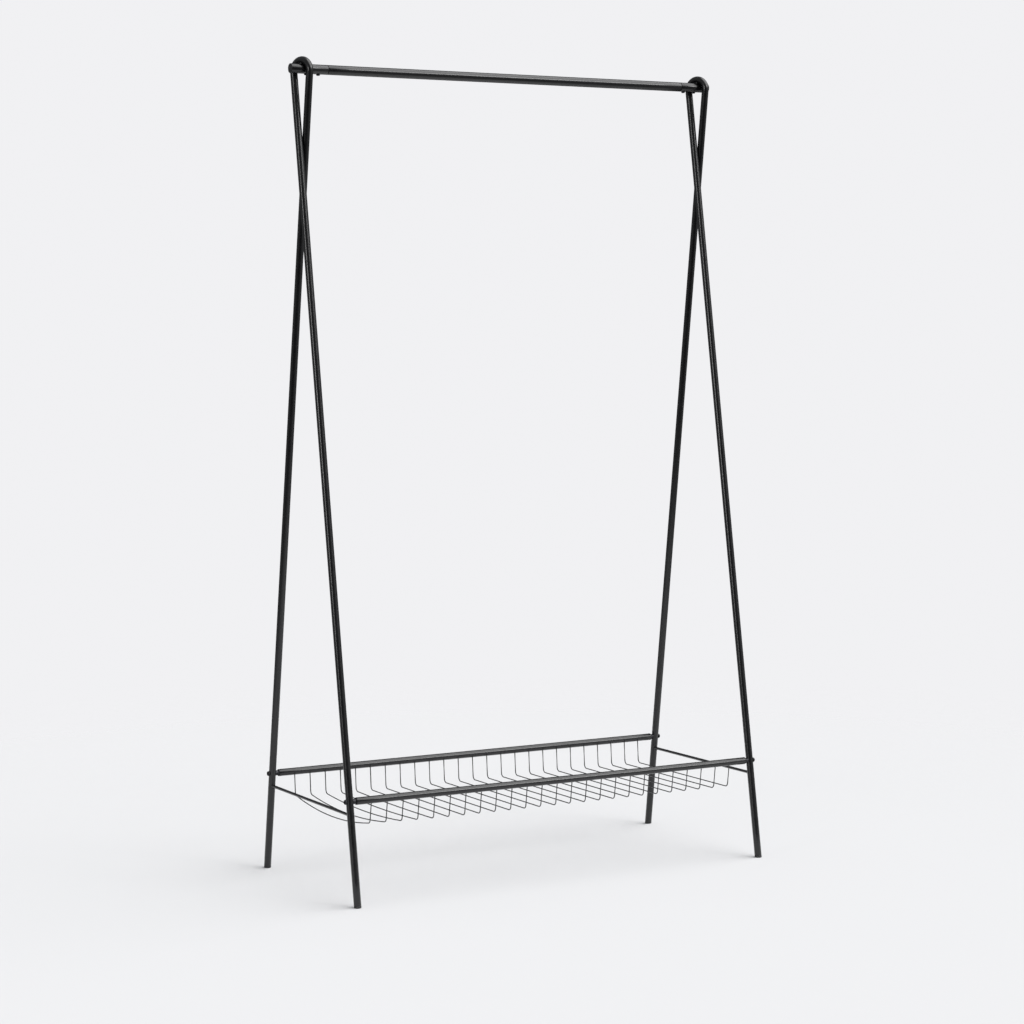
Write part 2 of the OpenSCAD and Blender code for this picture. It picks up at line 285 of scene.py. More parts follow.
MIX_FACTOR, MIX_COLOURS, MIX_RESULT = 0, (6, 7), 2    # the Mix node's sockets where it mixes colours


class Nodes:
    """A node tree that nodes are added to."""

    def __init__(self, tree):
        self.tree = tree

    def connect(self, value, socket):
        if isinstance(value, Value):
            self.tree.links.new(value.socket, socket)
        else:
            socket.default_value = value

    def node(self, kind, settings, inputs, output=0):
        """Adds a node and returns the named output of it, or the node itself if output is None."""
        made = self.tree.nodes.new(kind)
        for key, setting in settings.items():
            setattr(made, key, setting)
        for key, value in inputs.items():
            self.connect(value, made.inputs[key])
        return Value(self, made.outputs[output]) if output is not None else made

    def place(self):
        return self.node("ShaderNodeTexCoord", {}, {}, "Object")

    def stretched(self, place, scale):
        return self.node("ShaderNodeVectorMath", {"operation": "MULTIPLY"}, {0: place, 1: scale})

    def noise(self, place, size, detail=2.0, roughness=0.5):
        """Noise whose lumps are about size across, in metres."""
        return self.node("ShaderNodeTexNoise", {}, {
            "Vector": place, "Scale": 1 / size, "Detail": detail, "Roughness": roughness})

    def facing(self, axis):
        """The part of the surface normal along an axis: 1 where it faces that way."""
        normal = self.node("ShaderNodeNewGeometry", {}, {}, "Normal")
        return self.node("ShaderNodeVectorMath", {"operation": "DOT_PRODUCT"},
                         {0: normal, 1: axis}, "Value")

    def mix(self, factor, first, second):
        """A colour between first and second, which are sockets or plain colours."""
        made = self.tree.nodes.new("ShaderNodeMix")
        made.data_type = "RGBA"
        self.connect(factor, made.inputs[MIX_FACTOR])
        for value, index in zip((first, second), MIX_COLOURS):
            self.connect(value if isinstance(value, Value) else (*value, 1.0), made.inputs[index])
        return Value(self, made.outputs[MIX_RESULT])


class Shader(Nodes):
    """One material's nodes, around a Principled shader."""

    def __init__(self, name):
        self.material = bpy.data.materials.new(name)
        self.material.use_nodes = True
        super().__init__(self.material.node_tree)
        self.main = self.tree.nodes["Principled BSDF"]

    def set(self, **inputs):
        for key, value in inputs.items():
            self.connect(value, self.main.inputs[key.replace("_", " ")])

    def bump(self, height, depth):
        """Tips the normal by a height from 0 to 1, which stands for depth metres."""
        bumped = self.node("ShaderNodeBump", {}, {"Height": height, "Distance": depth})
        self.connect(bumped, self.main.inputs["Normal"])


def shade(colour, factor):
    """A colour made darker or lighter."""
    return tuple(min(1.0, factor * channel) for channel in colour)


def powder_coat(name, finish, rubbed=0.0):
    """Satin powder coat: fine grain over orange peel, with a little dust on top.

    rubbed is how strongly the top of the tube is marked by what slides along it, from 0 to 1.
    """
    coat = Shader(name)
    place = coat.place()
    grain = coat.noise(place, 0.0006, 2.0)
    peel = coat.noise(place, 0.0028, 1.0)
    cloud = coat.noise(place, 0.045, 4.0, 0.6)
    patch = coat.noise(place, 0.012, 3.0, 0.6)
    dust = coat.facing((0.0, 0.0, 1.0)).ramp(0.35, 0.95) * grain.ramp(0.42, 0.72) * cloud.ramp(0.30, 0.75)
    colour = coat.mix(patch.ramp(0.30, 0.75), shade(finish.coat, 0.82), shade(finish.coat, 1.30))
    colour = coat.mix(dust * 0.07, colour, (0.14, 0.14, 0.15))
    rough = finish.coat_roughness + (cloud - 0.5) * 0.16 + (patch - 0.5) * 0.08 + dust * 0.18
    height = peel * 0.55 + grain * 0.45
    if rubbed:
        streaks = coat.noise(coat.stretched(place, (0.06, 1.0, 1.0)), 0.0007, 3.0, 0.7)
        rub = coat.facing((0.0, 0.0, 1.0)).ramp(0.25, 0.9) * streaks.ramp(0.56, 0.74) * rubbed
        colour = coat.mix(rub * 0.22, colour, (0.07, 0.07, 0.075))
        rough = rough - rub * 0.10
        height = height - rub * 0.25
    coat.set(Base_Color=colour, Roughness=rough.clamped(), IOR=1.52)
    coat.main.inputs["Coat Weight"].default_value = 0.12
    coat.main.inputs["Coat Roughness"].default_value = 0.16
    coat.bump(height, 0.000018)
    return coat.material


def weld_coat(name, finish):
    """The same coat where it has run thick and glossy over a weld."""
    coat = Shader(name)
    place = coat.place()
    grain = coat.noise(place, 0.0008, 2.0)
    lumps = coat.noise(place, 0.0022, 3.0, 0.6)
    colour = coat.mix(lumps.ramp(0.3, 0.7), shade(finish.coat, 0.9), shade(finish.coat, 1.7))
    coat.set(Base_Color=colour, Roughness=(0.24 + (grain - 0.5) * 0.14).clamped(), IOR=1.52)
    coat.bump(lumps * 0.8 + grain * 0.2, 0.00012)
    return coat.material


def moulded_plastic(name, finish):
    """Matt polyethylene with a fine spark-eroded texture, and scuffs low down where it meets the floor."""
    plastic = Shader(name)
    place = plastic.place()
    pebble = plastic.noise(place, 0.00045, 2.0)
    cloud = plastic.noise(place, 0.006, 3.0)
    scratch = plastic.noise(plastic.stretched(place, (1.0, 0.12, 1.0)), 0.0005, 2.0)
    height = plastic.node("ShaderNodeSeparateXYZ", {}, {"Vector": place}, "Z")
    scuff = (1 - height.ramp(0.0004, 0.0032)) * scratch.ramp(0.45, 0.7)
    colour = plastic.mix(cloud.ramp(0.3, 0.7), shade(finish.plastic, 0.85), shade(finish.plastic, 1.35))
    colour = plastic.mix(scuff * 0.5, colour, (0.07, 0.07, 0.07))
    rough = 0.52 + (cloud - 0.5) * 0.12 + scuff * 0.15
    plastic.set(Base_Color=colour, Roughness=rough.clamped(), IOR=1.49)
    plastic.bump(pebble, 0.00006)
    return plastic.material


def black_steel(name, finish):
    """Dull black-plated steel with fine turning marks and small bright nicks."""
    steel = Shader(name)
    place = steel.place()
    marks = steel.noise(steel.stretched(place, (1.0, 0.25, 1.0)), 0.00035, 3.0, 0.6)
    cloud = steel.noise(place, 0.003, 3.0)
    nick = steel.noise(place, 0.0011, 2.0).ramp(0.66, 0.74)
    colour = steel.mix(cloud.ramp(0.25, 0.75), shade(finish.steel, 0.75), shade(finish.steel, 1.5))
    colour = steel.mix(nick * 0.6, colour, (0.22, 0.22, 0.23))
    steel.set(Base_Color=colour, Roughness=(0.40 + (marks - 0.5) * 0.22 - nick * 0.1).clamped())
    steel.main.inputs["Metallic"].default_value = 0.85
    steel.bump(marks, 0.00003)
    return steel.material


def finishes():
    """The rack's materials, made once."""
    if "weld_coat" not in bpy.data.materials:
        finish = bpy.context.scene.rack_finish
        powder_coat("powder_coat", finish)
        powder_coat("rail_coat", finish, rubbed=1.0)
        weld_coat("weld_coat", finish)
        moulded_plastic("matt_plastic", finish)
        black_steel("black_steel", finish)
    return bpy.data.materials


# ---- Mesh building ----

class Skin:
    """Collects rings of points into closed tubes, and makes them one piece."""

    def __init__(self, name):
        self.name = name
        self.mesh = bmesh.new()

    def corners(self, rings):
        return [[self.mesh.verts.new(point) for point in ring] for ring in rings]

    def band(self, low, high):
        """The faces between two rings of corners."""
        count = len(low)
        for i in range(count):
            j = (i + 1) % count
            self.mesh.faces.new((low[i], low[j], high[j], high[i]))

    def tube(self, rings):
        """A closed skin through rings of equally many points, with a flat cap at each end."""
        rows = self.corners(rings)
        self.mesh.faces.new(tuple(reversed(rows[0])))
        self.mesh.faces.new(rows[-1])
        for low, high in zip(rows, rows[1:]):
            self.band(low, high)

    def loop(self, rings):
        """A closed skin through rings whose last one joins the first."""
        rows = self.corners(rings)
        for low, high in zip(rows, rows[1:] + rows[:1]):
            self.band(low, high)

    def piece(self, stands_for, slot, materials):
        """Makes the object, which stands for the named nodes and rides on the rack."""
        bmesh.ops.recalc_face_normals(self.mesh, faces=self.mesh.faces)
        for face in self.mesh.faces:
            face.smooth = True
        for edge in self.mesh.edges:
            if len(edge.link_faces) == 2 and edge.calc_face_angle() > SHARP_ANGLE:
                edge.smooth = False
        data = bpy.data.meshes.new(self.name)
        self.mesh.to_mesh(data)
        self.mesh.free()
        for material in materials:
            data.materials.append(finishes()[material])
        made = bpy.data.objects.new(self.name, data)
        bpy.context.scene.collection.objects.link(made)
        check_fit(made, stands_for)
        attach(made, "root")
        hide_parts(*stands_for)
        return made


def check_fit(piece, nodes):
    """Stops if a piece doesn't fill the place of the nodes it stands for."""
    lows, highs = zip(*(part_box(node) for node in nodes))
    points = [vertex.co for vertex in piece.data.vertices]
    for axis in range(3):
        low, high = min(p[axis] for p in points), max(p[axis] for p in points)
        far = max(abs(low - min(c[axis] for c in lows)), abs(high - max(c[axis] for c in highs)))
        if far > FIT_ROOM:
            raise RuntimeError(f"{piece.name} misses its frame by {far * 1000:.2f} mm along axis {axis}")


def circle(centre, side, up, radius, count):
    """A ring of points; radius is a number or a function of the angle."""
    ring = []
    for i in range(count):
        angle = 2 * math.pi * i / count
        r = radius(angle) if callable(radius) else radius
        ring.append(centre + side * (r * math.cos(angle)) + up * (r * math.sin(angle)))
    return ring


def across(direction):
    """Two directions square to direction and to each other."""
    helper = UP if abs(direction.dot(UP)) < 0.9 else ALONG
    side = direction.cross(helper).normalized()
    return side, side.cross(direction).normalized()


def sweep(path, radii, count):
    """Rings along a path, each turned as little as possible from the one before."""
    rings = []
    side = None
    for i, point in enumerate(path):
        ahead = path[min(i + 1, len(path) - 1)] - path[max(i - 1, 0)]
        direction = ahead.normalized()
        if side is None:
            side = across(direction)[0]
        else:
            side = (side - direction * side.dot(direction)).normalized()
        rings.append(circle(point, side, direction.cross(side), radii[i], count))
    return rings


def turned(origin, direction, outline, count):
    """Rings of a turned shape: outline lists (distance along direction, radius)."""
    side, up = across(direction)
    return [circle(origin + direction * d, side, up, r, count) for d, r in outline]


def spaced(start, end, gap):
    """Points from start up to, but not including, end, about gap apart."""
    steps = max(1, round((end - start).length / gap))
    return [start.lerp(end, i / steps) for i in range(steps)]


def with_corners(points, radius, steps):
    """A path through points whose inner corners are rounded to radius."""
    path = [points[0]]
    for before, corner, after in zip(points, points[1:], points[2:]):
        a, b = (before - corner).normalized(), (after - corner).normalized()
        half = a.angle(b) / 2
        cut = radius / math.tan(half)
        centre = corner + (a + b).normalized() * (radius / math.sin(half))
        first, last = corner + a * cut - centre, corner + b * cut - centre
        path += [centre + first.slerp(last, i / steps) * radius for i in range(steps + 1)]
    return path + [points[-1]]


def reach_tube(point, direction, on_axis, axis, radius):
    """How far from point along direction the surface of a tube lies, at its near side."""
    gap = point - on_axis
    d = direction - axis * direction.dot(axis)
    g = gap - axis * gap.dot(axis)
    a, b, c = d.dot(d), 2 * d.dot(g), g.dot(g) - radius * radius
    inside = max(b * b - 4 * a * c, 0.0)
    return (-b - math.sqrt(inside)) / (2 * a)


def seated(origin, direction, outline, tube, count, ripple=0.0, waves=9, settle=0.005):
    """Rings of a turned shape that ends seated on a tube. outline lists (distance from the tube, radius).

    Near the tube the rings follow its saddle, and from the distance settle on they are square to
    direction. ripple is the height of waves round the shape where it meets the tube, as a share of
    its radius.
    """
    side, up = across(direction)
    on_axis, axis, tube_r = tube
    level = reach_tube(origin, direction, on_axis, axis, tube_r)
    rings = []
    for away, radius in outline:
        share = max(0.0, 1 - away / settle)
        ring = []
        for i in range(count):
            angle = 2 * math.pi * i / count
            r = radius * (1 + ripple * share * math.sin(waves * angle + RIPPLE_TWIST * away))
            spot = origin + side * (r * math.cos(angle)) + up * (r * math.sin(angle))
            seat = reach_tube(spot, direction, on_axis, axis, tube_r)
            rise = max(-MOST_SADDLE, min(MOST_SADDLE, seat - level))
            ring.append(spot + direction * (level + rise * share - away))
        rings.append(ring)
    return rings


def hexagon(flat):
    """The radius of a hexagon with that distance from its middle to a flat, by angle."""
    sixth = math.pi / 3
    return lambda angle: flat / math.cos((angle + sixth / 2) % sixth - sixth / 2)


def domed_head(origin, out, radius, height, shank, count=48):
    """Rings of a button head with a hex socket, from the end of its shank to the socket's floor."""
    edge = HEAD_EDGE * height
    shank_r = HEAD_SHANK * radius
    socket = hexagon(HEAD_SOCKET * radius)
    crown = [(edge + (height - edge) * math.sin(t), radius * (HEAD_FLAT + (1 - HEAD_FLAT) * math.cos(t)))
             for t in (math.radians(a) for a in range(10, 91, 10))]
    side, up = across(out)
    rings = turned(origin, out, [(-shank, shank_r), (0.0, shank_r), (0.0, 0.96 * radius),
                                 (0.12 * height, radius), (edge, radius)] + crown, count)
    rings.append(circle(origin + out * height, side, up, lambda angle: 1.10 * socket(angle), count))
    for level in (height - 0.04 * radius, 0.45 * height):
        rings.append(circle(origin + out * level, side, up, socket, count))
    return rings


def mirrored(rings):
    """The same rings, each numbered the other way round from its first point."""
    return [[ring[0]] + list(reversed(ring[1:])) for ring in rings]


def match(rings, target):
    """Turns every ring's numbering so that the last ring lines up with the target ring."""
    count = len(target)
    shift = min(range(count), key=lambda s: sum((rings[-1][(i + s) % count] - target[i]).length
                                                for i in range(0, count, 6)))
    return [[ring[(i + shift) % count] for i in range(count)] for ring in rings]


# ---- The end frames ----

def frame_shape(tubes):
    """Where the loop's centre is, how far its ends lean, and the top of the front strand."""
    loop_r = tubes.loop_radius
    loop_z = HEIGHT - LEG_R - loop_r
    lean = math.atan2(HALF_SPREAD, loop_z) + math.asin(loop_r / math.hypot(HALF_SPREAD, loop_z))
    reach = loop_r * math.cos(lean)
    off = LEG_R + tubes.strand_gap / 2
    k = (off / HALF_SPREAD) ** 2
    y = (math.sqrt(k * off * off + (1 + k) * (reach * reach - off * off)) - k * HALF_SPREAD) / (1 + k)
    x = off * (1 + y / HALF_SPREAD)
    return loop_z, lean, Vector((-x, y, loop_z - loop_r * math.sin(lean)))


def leg_line(side, front, tubes):
    """The foot and the top of one leg's axis."""
    top = frame_shape(tubes)[2]
    foot = Vector((0, -HALF_SPREAD, 0))
    if not front:
        top, foot = Vector((-top.x, -top.y, top.z)), -foot
    middle_x = Vector((side * FRAME_X, 0, 0))
    return middle_x + foot, middle_x + top


def leg_at(side, front, z, tubes):
    """The point of a leg's axis at a height."""
    foot, top = leg_line(side, front, tubes)
    return foot.lerp(top, z / top.z)


def leg_tube(side, front, tubes):
    """A leg as a point on its axis, the axis and the radius."""
    foot, top = leg_line(side, front, tubes)
    return foot, (top - foot).normalized(), LEG_R


class RACK_OT_end_frames(bpy.types.Operator):
    """Bend the two end frames, each from one length of tube"""
    bl_idname = "rack.end_frames"
    bl_label = "End Frames"

    def execute(self, context):
        tubes = context.scene.rack_tubes
        loop_z, lean, top = frame_shape(tubes)
        out = Vector((top.x, top.y, 0)).normalized()
        for side in (LEFT, RIGHT):
            centre = Vector((side * FRAME_X, 0, loop_z))
            foot, first = leg_line(side, True, tubes)
            far_foot, last = leg_line(side, False, tubes)
            angles = [-lean + (math.pi + 2 * lean) * i / ARC_STEPS for i in range(ARC_STEPS + 1)]
            arc = [centre + (out * math.cos(a) + UP * math.sin(a)) * tubes.loop_radius for a in angles]
            start = foot + (first - foot).normalized() * tubes.foot_show
            end = far_foot + (last - far_foot).normalized() * tubes.foot_show
            path = spaced(start, first, RING_GAP) + arc + list(reversed(spaced(end, last, RING_GAP)))
            skin = Skin(f"{SIDE_NAMES[side]}_frame_tube")
            skin.loop(tube_wall(path, LEG_R, tubes.wall, tubes.edge, tubes.sides))
            skin.piece([f"{SIDE_NAMES[side]}_end_frame"], "coat", ["powder_coat"])
        return {"FINISHED"}


def tube_wall(path, radius, wall, edge, count):
    """Rings of a hollow tube along a path: along its outside, over a rounded end, and back inside."""
    first, last = (path[1] - path[0]).normalized(), (path[-2] - path[-1]).normalized()
    lip = [(0.0, -edge), (0.3 * edge, -0.3 * edge), (edge, 0.0)]
    near = [path[0] + first * d for d, _ in lip]
    far = [path[-1] + last * d for d, _ in reversed(lip)]
    line = near + path[1:-1] + far
    radii = [radius + r for _, r in lip] + [radius] * (len(path) - 2) + [radius + r for _, r in reversed(lip)]
    outside = sweep(line, radii, count)
    inside = sweep(path, [radius - wall] * len(path), count)
    return outside + list(reversed(inside))


class RACK_OT_foot_plugs(bpy.types.Operator):
    """Mould the four foot plugs, flat on the floor and flush with the tube"""
    bl_idname = "rack.foot_plugs"
    bl_label = "Foot Plugs"

    def execute(self, context):
        tubes = context.scene.rack_tubes
        for side, front in ENDS:
            foot, axis, _ = leg_tube(side, front, tubes)
            across_side, up = across(axis)
            name = f"{corner_name(side, front)}_foot"
            seat = tubes.foot_show
            inner = LEG_R - tubes.wall
            top = seat + FOOT_PLUG_DEPTH
            upper = [(top, 0.90 * inner), (top - FOOT_PLUG_LEAD, inner), (seat, inner),
                     (seat, LEG_R - tubes.edge), (seat - 0.3 * tubes.edge, LEG_R - 0.3 * tubes.edge),
                     (seat - tubes.edge, LEG_R)]
            sole = [(0.0011, LEG_R), (0.0006, 0.975 * LEG_R), (0.0002, 0.93 * LEG_R), (0.0, 0.86 * LEG_R)]
            rings = [circle(foot + axis * d, across_side, up, r, tubes.sides) for d, r in upper]
            for height, radius in sole:
                ring = circle(foot, across_side, up, radius, tubes.sides)
                rings.append([p + axis * ((height - p.z) / axis.z) for p in ring])
            skin = Skin(name)
            skin.tube(rings)
            skin.piece([f"{name}_plug"], "plastic", ["matt_plastic"])
        return {"FINISHED"}


class RACK_OT_cross_rods(bpy.types.Operator):
    """Weld a straight rod between the legs of each end frame"""
    bl_idname = "rack.cross_rods"
    bl_label = "Cross Rods"

    def execute(self, context):
        tubes = context.scene.rack_tubes
        r = tubes.rod_radius
        bead = [(0.0095, r), (0.0052, r), (0.0040, 1.04 * r), (0.0034, 1.18 * r), (0.0026, 1.36 * r),
                (0.0017, 1.49 * r), (0.0008, 1.53 * r), (0.0, 1.50 * r), (-0.0005, 1.30 * r)]
        for side in (LEFT, RIGHT):
            front, back = (leg_at(side, f, ROD_Z, tubes) for f in (True, False))
            along = (back - front).normalized()
            heart = (front + back) / 2
            skin = Skin(f"{SIDE_NAMES[side]}_rod")
            to_back = seated(heart, along, bead, leg_tube(side, False, tubes), ROD_SIDES, ROD_RIPPLE)
            to_front = seated(heart, -along, bead, leg_tube(side, True, tubes), ROD_SIDES, ROD_RIPPLE)
            skin.tube(match(mirrored(reversed(to_front)), to_back[0]) + to_back)
            made = skin.piece([f"{SIDE_NAMES[side]}_cross_rod"], "coat", ["powder_coat", "weld_coat"])
            paint_near(made, (front, back), LEG_R + ROD_WELD_REACH)
        return {"FINISHED"}


def paint_near(piece, spots, reach):
    """Gives the second material to the faces whose middle is nearer than reach to one of the spots."""
    for face in piece.data.polygons:
        if min((face.center - spot).length for spot in spots) < reach:
            face.material_index = 1


# ---- The hanging rail ----

class RACK_OT_hanging_rail(bpy.types.Operator):
    """Cut the hanging rail and its two stubs from round tube"""
    bl_idname = "rack.hanging_rail"
    bl_label = "Hanging Rail"

    def execute(self, context):
        tubes = context.scene.rack_tubes
        for node, name in (("hanging_rail", "rail_tube"), ("left_rail_stub", "left_stub"),
                           ("right_rail_stub", "right_stub")):
            straight_tube(name, node, RAIL_R, tubes, "rail_coat")
        for side in (LEFT, RIGHT):
            dress(NODES[f"{SIDE_NAMES[side]}_rail_joiner"], "black_steel")
        return {"FINISHED"}


def dress(cad_piece, material):
    """Gives a carried-over node its finish."""
    cad_piece.data.materials.clear()
    cad_piece.data.materials.append(finishes()[material])


def straight_tube(name, node, radius, tubes, material):
    """A hollow tube along X in the place of a node."""
    low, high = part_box(node)
    centre = (low + high) / 2
    ends = [Vector((x, centre.y, centre.z)) for x in (low.x, high.x)]
    path = spaced(ends[0], ends[1], RING_GAP) + [ends[1]]
    skin = Skin(name)
    skin.loop(tube_wall(path, radius, tubes.wall, tubes.edge, tubes.sides))
    return skin.piece([node], "coat", [material])


class RACK_OT_rail_caps(bpy.types.Operator):
    """Mould the domed caps that close the rail"""
    bl_idname = "rack.rail_caps"
    bl_label = "Rail Caps"

    def execute(self, context):
        tubes = context.scene.rack_tubes
        dome = context.scene.rack_hardware.cap_dome
        inner = RAIL_R - tubes.wall
        for side in (LEFT, RIGHT):
            low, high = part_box(f"{SIDE_NAMES[side]}_rail_cap")
            tip = high.x if side == RIGHT else low.x
            seat = Vector((tip - side * dome, 0, RAIL_Z))
            out = ALONG * side
            plug = high.x - low.x - dome
            inside = [(-plug, 0.90 * inner), (-plug + CAP_LEAD, inner), (0.0, inner)]
            rim = [(0.0, RAIL_R - 0.0005), (0.0002, RAIL_R - 0.0001), (0.0005, RAIL_R),
                   (0.0008, RAIL_R - 0.0002)]
            crown = [(0.0010 + (dome - 0.0010) * (1 - share ** 2), RAIL_R * (0.93 * share + 0.02))
                     for share in (0.98, 0.94, 0.85, 0.7, 0.5, 0.3, 0.12)]
            skin = Skin(f"{SIDE_NAMES[side]}_cap")
            skin.tube(turned(seat, out, inside + rim + crown + [(dome, 0.0004)], tubes.sides))
            skin.piece([f"{SIDE_NAMES[side]}_rail_cap"], "plastic", ["matt_plastic"])
        return {"FINISHED"}


class RACK_OT_arch_welds(bpy.types.Operator):
    """Lay the weld beads where the loops sit on the rail"""
    bl_idname = "rack.arch_welds"
    bl_label = "Loop Welds"

    def execute(self, context):
        tubes = context.scene.rack_tubes
        loop_z, _, top = frame_shape(tubes)
        out = Vector((top.x, top.y, 0)).normalized()
        normal = out.cross(UP)
        for side in (LEFT, RIGHT):
            centre = Vector((side * FRAME_X, 0, loop_z))
            rail_centre = Vector((side * FRAME_X, 0, RAIL_Z))
            skin = Skin(f"{SIDE_NAMES[side]}_weld")
            for face in (-1, 1):
                path, radii = [], []
                for step in range(-LOOP_BEAD_STEPS, LOOP_BEAD_STEPS + 1):
                    angle = LOOP_BEAD_TURN * step
                    full = math.sqrt(max(0.06, 1 - (abs(step) / (LOOP_BEAD_STEPS + 0.6)) ** 4))
                    radii.append(LOOP_BEAD_R * full * (1 + 0.07 * math.sin(2.6 * step + face)))
                    path.append(bead_spot(centre, out, normal * face, rail_centre, angle, tubes))
                skin.tube(sweep(path, radii, 20))
            skin.tube(sweep([rail_centre + UP * (RAIL_R + d) for d in (-0.0008, 0.0, 0.0012, 0.0024)],
                            [0.0052, 0.0054, 0.0052, 0.0047], 28))
            skin.piece([f"{SIDE_NAMES[side]}_arch_weld"], "coat", ["weld_coat"])
        return {"FINISHED"}


def bead_spot(centre, out, normal, rail_centre, angle, tubes):
    """The middle of a bead in the wedge between the rail's top and the loop, at an angle round the rail.

    It is found by halving, along the rail, until it is as far above the loop as above the rail.
    """
    across_rail = out - ALONG * out.dot(ALONG)
    spoke = across_rail.normalized() * math.sin(angle) + UP * math.cos(angle)
    near, far = 0.0, 2 * LEG_R
    for _ in range(HALVINGS):
        shift = (near + far) / 2
        away = ALONG * (shift * math.copysign(1, normal.x))
        spot = rail_centre + spoke * (RAIL_R + LOOP_BEAD_LIFT) + away
        flat = spot - centre
        off_plane = flat.dot(normal)
        in_plane = (flat - normal * off_plane).length - tubes.loop_radius
        if math.hypot(off_plane, in_plane) < LEG_R + LOOP_BEAD_LIFT:
            near = shift
        else:
            far = shift
    return spot


class RACK_OT_rail_screws(bpy.types.Operator):
    """Drive the four socket screws under the rail"""
    bl_idname = "rack.rail_screws"
    bl_label = "Rail Screws"

    def execute(self, context):
        hardware = context.scene.rack_hardware
        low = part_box("rail_screws")[0].z
        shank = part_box("rail_screws")[1].z - low - hardware.screw_height
        skin = Skin("screws_under_rail")
        for side in (LEFT, RIGHT):
            for spot in hardware.screw_spots:
                origin = Vector((side * (FRAME_X - spot), 0, low + hardware.screw_height))
                skin.tube(domed_head(origin, -UP, hardware.screw_radius, hardware.screw_height, shank))
        skin.piece(["rail_screws"], "steel", ["black_steel"])
        return {"FINISHED"}


# ---- The shoe shelf ----

class RACK_OT_shelf_rails(bpy.types.Operator):
    """Cut the two shelf rails from round tube"""
    bl_idname = "rack.shelf_rails"
    bl_label = "Shelf Rails"

    def execute(self, context):
        tubes = context.scene.rack_tubes
        for name in FACE_NAMES.values():
            straight_tube(f"{name}_rail", f"{name}_shelf_rail", SHELF_R, tubes, "powder_coat")
        return {"FINISHED"}


def rail_axis(front):
    """A shelf rail as a point on its axis, the axis and the radius."""
    centre = middle(f"{FACE_NAMES[front]}_shelf_rail")
    return centre, ALONG, SHELF_R


class RACK_OT_rail_necks(bpy.types.Operator):
    """Turn the neck plugs between the legs and the shelf rails"""
    bl_idname = "rack.rail_necks"
    bl_label = "Rail Necks"

    def execute(self, context):
        tubes = context.scene.rack_tubes
        neck = context.scene.rack_shelf.neck_radius
        for side, front in ENDS:
            name = corner_name(side, front)
            leg = leg_at(side, front, SHELF_Z, tubes)
            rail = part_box(f"{FACE_NAMES[front]}_shelf_rail")
            rail_end = rail[1].x if side == RIGHT else rail[0].x
            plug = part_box(f"{name}_rail_plug")
            inner_end = plug[0].x if side == RIGHT else plug[1].x
            outward = ALONG * side
            surface = abs(leg.x - rail_end) - LEG_R
            depth = abs(leg.x - inner_end) - LEG_R
            bore_r = SHELF_R - tubes.wall
            outline = [(depth, 0.9 * bore_r), (depth - 0.0012, bore_r), (surface - 0.0001, bore_r),
                       (surface - 0.0001, SHELF_R - 0.0006), (surface - 0.0004, SHELF_R - 0.0002),
                       (surface - 0.0010, SHELF_R - 0.0003), (surface - 0.0016, neck + 0.0010),
                       (surface - 0.0022, neck + 0.0001), (0.0006, neck), (0.0, neck + 0.0002)]
            origin = Vector((inner_end, leg.y, leg.z))
            skin = Skin(f"{name}_neck")
            skin.tube(seated(origin, outward, outline, leg_tube(side, front, tubes), 40, settle=0.0015))
            skin.piece([f"{name}_rail_plug"], "steel", ["black_steel"])
        return {"FINISHED"}


class RACK_OT_shelf_bolts(bpy.types.Operator):
    """Put the four bolts through the legs into the shelf rails"""
    bl_idname = "rack.shelf_bolts"
    bl_label = "Shelf Bolts"

    def execute(self, context):
        tubes, shelf = context.scene.rack_tubes, context.scene.rack_shelf
        skin = Skin("bolts_through_legs")
        for side, front in ENDS:
            leg = leg_at(side, front, SHELF_Z, tubes)
            out = ALONG * side
            skin.tube(domed_head(leg + out * LEG_R, out, shelf.bolt_radius, shelf.bolt_height, BOLT_SHANK))
        skin.piece(["shelf_bolts"], "steel", ["black_steel"])
        return {"FINISHED"}


def wire_path(node, shelf):
    """The centre line of one shelf wire, from the front rail to the back rail.

    A wire that hangs lower than the highest ones sags between its bends, in a parabola.
    """
    x = middle(node).x
    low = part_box(node)[0].z + shelf.wire_radius
    level = max(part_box(name)[0].z for name in WIRES) + shelf.wire_radius
    rise = 0.5 * (level - low)
    sag = level - low + rise
    front, back = rail_axis(True)[0], rail_axis(False)[0]
    meet = SHELF_Z - math.sqrt(SHELF_R ** 2 - shelf.inset ** 2)
    front_top = Vector((x, front.y + shelf.inset, meet))
    back_top = Vector((x, back.y - shelf.inset, meet))
    corners = [Vector((x, front_top.y + shelf.front_lean, level + rise)),
               Vector((x, back_top.y - shelf.back_lean, level + rise))]
    floor = []
    steps = SAG_STEPS if sag > LEAST_SAG else 1
    for i in range(1, steps):
        share = i / steps
        spot = corners[0].lerp(corners[1], share)
        floor.append(spot - UP * (sag * 4 * share * (1 - share)))
    bends = with_corners([front_top, corners[0]] + (floor[:1] or corners[1:]), shelf.bend_radius, BEND_STEPS)
    other = with_corners((floor[-1:] or corners[:1]) + [corners[1], back_top], shelf.bend_radius, BEND_STEPS)
    return bends + floor[1:-1] + other if floor else bends[:-1] + other[1:]


